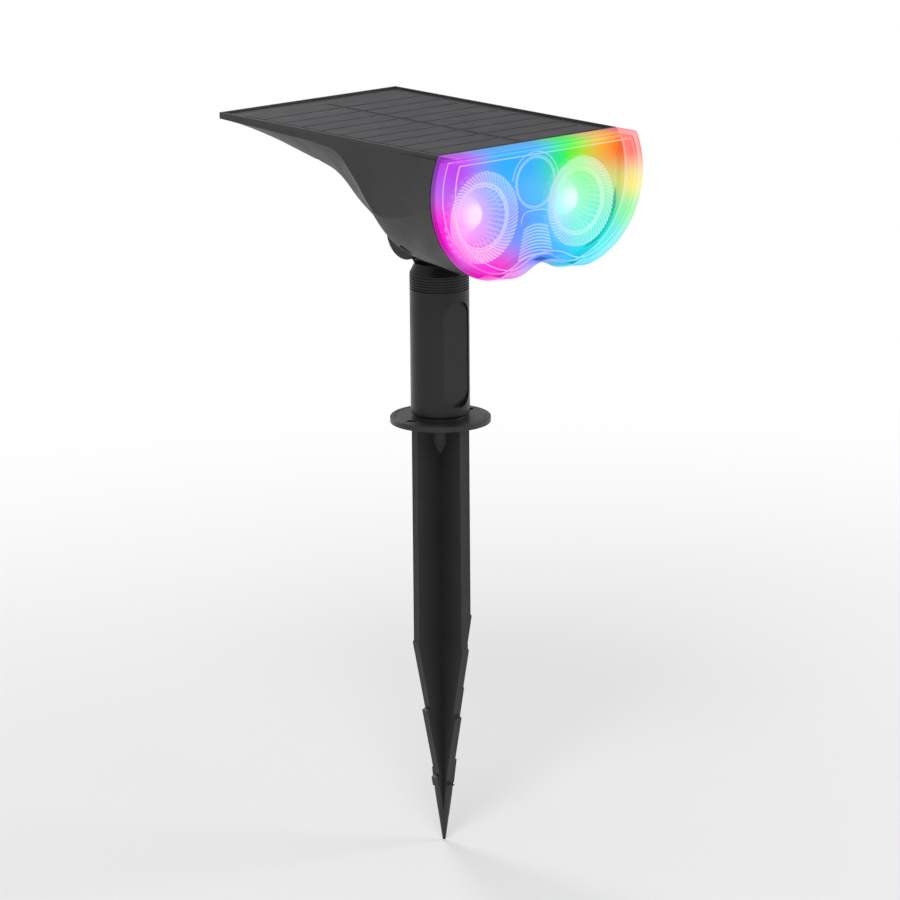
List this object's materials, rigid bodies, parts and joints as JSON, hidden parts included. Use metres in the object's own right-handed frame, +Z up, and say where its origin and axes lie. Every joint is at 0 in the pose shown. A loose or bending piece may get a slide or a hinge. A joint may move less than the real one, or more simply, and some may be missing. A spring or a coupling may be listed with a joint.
{
  "type": "solar stake spotlight",
  "caption": "Solar garden spotlight on a barbed ground stake, with a tilting head that holds lamps behind one clear cover under a solar panel.",
  "frame": {"origin": "centre of the mounting flange's underside, at ground level on the stake's axis", "axes": "+Z up along the pole, -Y the way the lamps face, +X to the right seen from the front"},
  "size_m": [0.1184, 0.1729, 0.35],
  "materials": {
    "housing_abs": "fine matte texture",
    "black_abs": "satin",
    "black_steel": "black oxide",
    "steel": "zinc plated",
    "nylon": "smooth",
    "nickel": "plated",
    "clear_lens": "clear polished",
    "clear_panel": "clear resin",
    "panel_backing": "satin",
    "solar_cell": "silicon",
    "seal_rubber": "matte",
    "button_rubber": "matte",
    "white_plastic": "satin",
    "reflector": "metallised",
    "led": "clear dome",
    "circuit_board": "solder mask",
    "chip_black": "moulded",
    "battery_can": "film wrapped",
    "lead_red": "insulated wire"
  },
  "bodies": {
    "stand": {"ground_stake": "black_abs", "mounting_flange": "black_abs", "pole": "black_abs", "swivel_ring": "nylon"},
    "neck": {"swivel_neck": "black_abs", "swivel_washer": "steel", "swivel_screw": "steel"},
    "head": {"tilt_bracket": "black_abs", "tilt_bolt": "black_steel", "tilt_nut": "steel", "tilt_washers": "nylon", "bracket_screws": "steel", "lamp_housing": "housing_abs", "panel_tray": "housing_abs", "panel_backing": "panel_backing", "solar_cells": "solar_cell", "panel_cover": "clear_panel", "cover_screws": "black_steel", "lens_cover": "clear_lens", "lens_seal": "seal_rubber", "lamp_carrier": "white_plastic", "carrier_screws": "steel", "reflector_left": "reflector", "reflector_right": "reflector", "led_left": "led", "led_right": "led", "led_board": "circuit_board", "led_board_screws": "steel", "battery": "battery_can", "battery_contacts": "nickel", "control_board": "circuit_board", "board_parts": "chip_black", "board_screws": "steel", "switch_board": "circuit_board", "tact_switch": "chip_black", "panel_lead": "lead_red", "led_lead": "lead_red", "battery_leads": "lead_red"},
    "button": {"mode_button": "button_rubber"}
  },
  "joints": [
    {"name": "neck_swivel", "type": "hinge", "parent": "stand", "child": "neck", "pos_m": [0, 0, 0.0642], "axis": [0, 0, 1], "range_deg": [-90, 90]},
    {"name": "head_tilt", "type": "hinge", "parent": "neck", "child": "head", "pos_m": [0, 0.0115, 0.09], "axis": [-1, 0, 0], "range_deg": [0, 90]},
    {"name": "mode_press", "type": "slide", "parent": "head", "child": "button", "axis": [0, -0.4384, 0.8988], "range_m": [0, 0.0012], "stiffness_N_per_m": 600, "springref_m": -0.0005}
  ]
}
